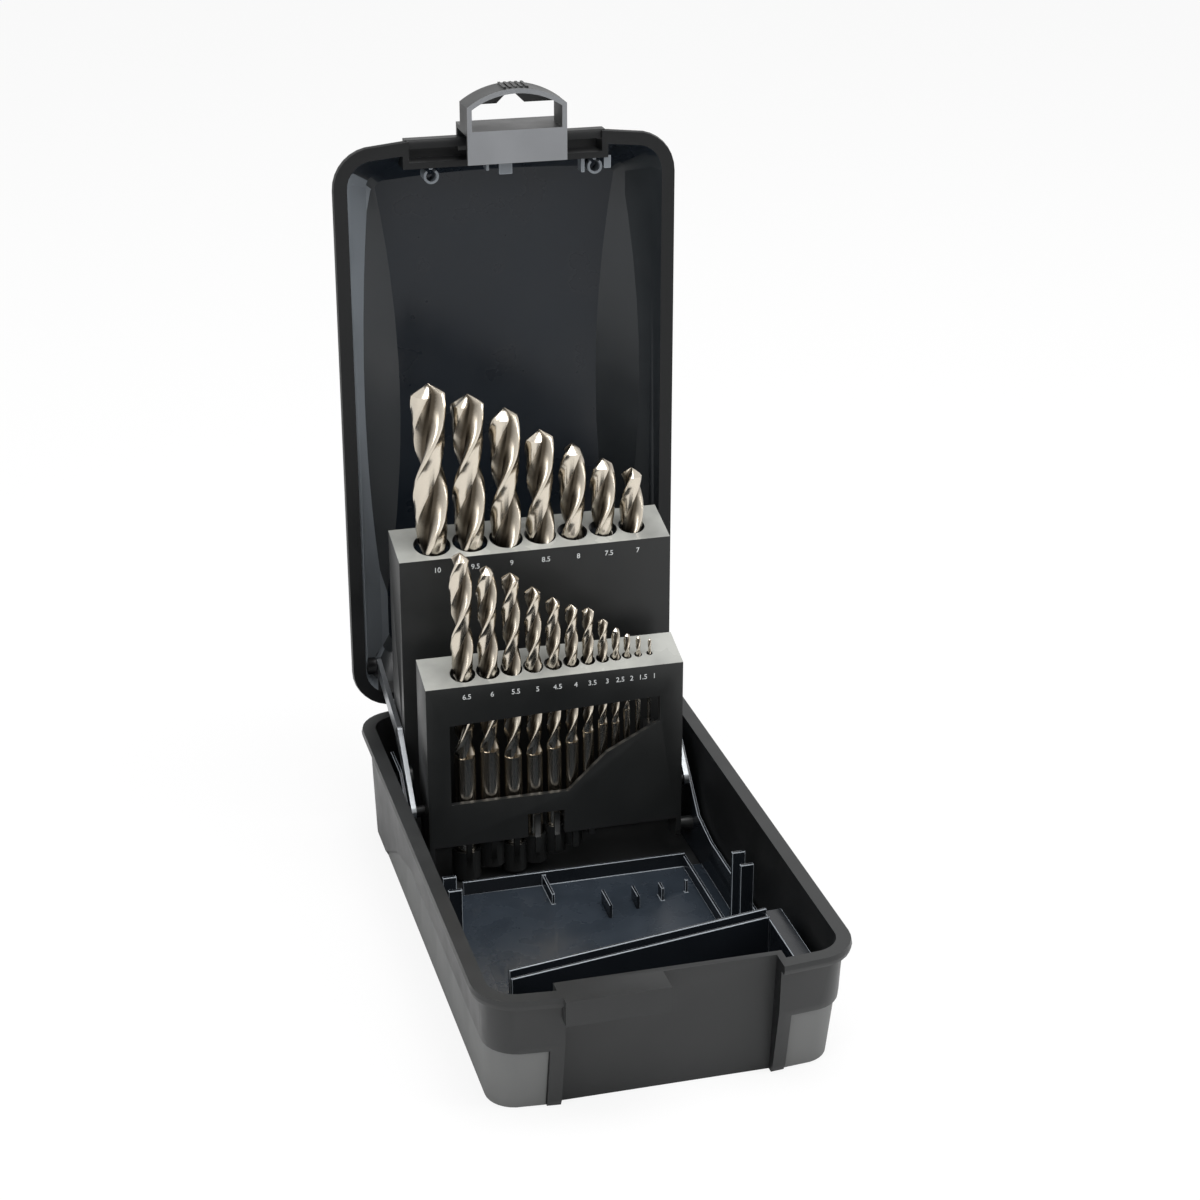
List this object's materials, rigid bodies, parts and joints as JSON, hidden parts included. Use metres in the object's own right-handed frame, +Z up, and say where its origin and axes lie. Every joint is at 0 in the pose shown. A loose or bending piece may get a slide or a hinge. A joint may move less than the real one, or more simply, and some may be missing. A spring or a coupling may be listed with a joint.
{
  "type": "drill bit case",
  "caption": "Hinged plastic case for twist drills: lid with a sliding latch handle, and two linked racks that stand up as the lid opens.",
  "frame": {"origin": "underside of the base, at the middle of its width and length", "axes": "+X across the case, +Y towards the hinge, +Z up"},
  "size_m": [0.1, 0.1924, 0.2252],
  "materials": {
    "shell": "fine matt texture",
    "grip": "soft matt",
    "tray": "polished",
    "rack": "satin",
    "link": "zinc plated",
    "steel": "drawn wire",
    "drill_steel": "ground bright"
  },
  "bodies": {
    "base": {"base_shell": "shell", "grip_left": "grip", "grip_right": "grip", "tray_base": "tray", "diagonal_walls": "tray", "side_shelf": "tray", "bracket_left": "tray", "bracket_right": "tray", "posts_left": "tray", "posts_right": "tray", "hinge_pin_left": "steel", "hinge_pin_right": "steel"},
    "lid": {"lid_shell": "shell"},
    "latch": {"latch_handle": "shell"},
    "link_left": {"link_left": "link"},
    "link_right": {"link_right": "link"},
    "rack_rear": {"rack_rear": "rack"},
    "rack_front": {"rack_front": "rack"},
    "bit_100": {"bit_100": "drill_steel"},
    "bit_095": {"bit_095": "drill_steel"},
    "bit_090": {"bit_090": "drill_steel"},
    "bit_085": {"bit_085": "drill_steel"},
    "bit_080": {"bit_080": "drill_steel"},
    "bit_075": {"bit_075": "drill_steel"},
    "bit_070": {"bit_070": "drill_steel"},
    "bit_065": {"bit_065": "drill_steel"},
    "bit_060": {"bit_060": "drill_steel"},
    "bit_055": {"bit_055": "drill_steel"},
    "bit_050": {"bit_050": "drill_steel"},
    "bit_045": {"bit_045": "drill_steel"},
    "bit_040": {"bit_040": "drill_steel"},
    "bit_035": {"bit_035": "drill_steel"},
    "bit_030": {"bit_030": "drill_steel"},
    "bit_025": {"bit_025": "drill_steel"},
    "bit_020": {"bit_020": "drill_steel"},
    "bit_015": {"bit_015": "drill_steel"},
    "bit_010": {"bit_010": "drill_steel"}
  },
  "joints": [
    {"name": "lid_hinge", "type": "hinge", "parent": "base", "child": "lid", "pos_m": [0, 0.088, 0.03615], "axis": [-1, 0, 0], "range_deg": [-90, 0]},
    {"name": "latch_slide", "type": "slide", "parent": "lid", "child": "latch", "axis": [1, 0, 0], "range_m": [-0.0142, 0.0121]},
    {"name": "rack_front_pivot", "type": "hinge", "parent": "base", "child": "rack_front", "pos_m": [0, 0.039, 0.011], "axis": [-1, 0, 0], "range_deg": [-90, 0]},
    {"name": "rack_rear_pivot", "type": "hinge", "parent": "base", "child": "rack_rear", "pos_m": [0, 0.057, 0.028], "axis": [-1, 0, 0], "range_deg": [-90, 0]},
    {"name": "link_left_pivot", "type": "hinge", "parent": "lid", "child": "link_left", "pos_m": [-0.0413, 0.092, 0.04915], "axis": [-1, 0, 0], "range_deg": [0, 90]},
    {"name": "link_right_pivot", "type": "hinge", "parent": "lid", "child": "link_right", "pos_m": [0.0413, 0.092, 0.04915], "axis": [-1, 0, 0], "range_deg": [0, 90]},
    {"name": "bit_100_slide", "type": "slide", "parent": "rack_rear", "child": "bit_100", "axis": [0, 0, 1], "range_m": [0, 0.0998]},
    {"name": "bit_095_slide", "type": "slide", "parent": "rack_rear", "child": "bit_095", "axis": [0, 0, 1], "range_m": [0, 0.0938]},
    {"name": "bit_090_slide", "type": "slide", "parent": "rack_rear", "child": "bit_090", "axis": [0, 0, 1], "range_m": [0, 0.0938]},
    {"name": "bit_085_slide", "type": "slide", "parent": "rack_rear", "child": "bit_085", "axis": [0, 0, 1], "range_m": [0, 0.0877]},
    {"name": "bit_080_slide", "type": "slide", "parent": "rack_rear", "child": "bit_080", "axis": [0, 0, 1], "range_m": [0, 0.0877]},
    {"name": "bit_075_slide", "type": "slide", "parent": "rack_rear", "child": "bit_075", "axis": [0, 0, 1], "range_m": [0, 0.0818]},
    {"name": "bit_070_slide", "type": "slide", "parent": "rack_rear", "child": "bit_070", "axis": [0, 0, 1], "range_m": [0, 0.0818]},
    {"name": "bit_065_slide", "type": "slide", "parent": "rack_front", "child": "bit_065", "axis": [0, 0, 1], "range_m": [0, 0.0757]},
    {"name": "bit_060_slide", "type": "slide", "parent": "rack_front", "child": "bit_060", "axis": [0, 0, 1], "range_m": [0, 0.0698]},
    {"name": "bit_055_slide", "type": "slide", "parent": "rack_front", "child": "bit_055", "axis": [0, 0, 1], "range_m": [0, 0.0698]},
    {"name": "bit_050_slide", "type": "slide", "parent": "rack_front", "child": "bit_050", "axis": [0, 0, 1], "range_m": [0, 0.0645]},
    {"name": "bit_045_slide", "type": "slide", "parent": "rack_front", "child": "bit_045", "axis": [0, 0, 1], "range_m": [0, 0.06]},
    {"name": "bit_040_slide", "type": "slide", "parent": "rack_front", "child": "bit_040", "axis": [0, 0, 1], "range_m": [0, 0.0563]},
    {"name": "bit_035_slide", "type": "slide", "parent": "rack_front", "child": "bit_035", "axis": [0, 0, 1], "range_m": [0, 0.0525]},
    {"name": "bit_030_slide", "type": "slide", "parent": "rack_front", "child": "bit_030", "axis": [0, 0, 1], "range_m": [0, 0.0457]},
    {"name": "bit_025_slide", "type": "slide", "parent": "rack_front", "child": "bit_025", "axis": [0, 0, 1], "range_m": [0, 0.0428]},
    {"name": "bit_020_slide", "type": "slide", "parent": "rack_front", "child": "bit_020", "axis": [0, 0, 1], "range_m": [0, 0.0367]},
    {"name": "bit_015_slide", "type": "slide", "parent": "rack_front", "child": "bit_015", "axis": [0, 0, 1], "range_m": [0, 0.03]},
    {"name": "bit_010_slide", "type": "slide", "parent": "rack_front", "child": "bit_010", "axis": [0, 0, 1], "range_m": [0, 0.0255]}
  ],
  "couplings": [
    {"joint": "rack_front_pivot", "follows": "lid_hinge", "ratio": 1},
    {"joint": "rack_rear_pivot", "follows": "lid_hinge", "ratio": 1},
    {"joint": "link_left_pivot", "follows": "lid_hinge", "ratio": -1},
    {"joint": "link_right_pivot", "follows": "lid_hinge", "ratio": -1}
  ]
}
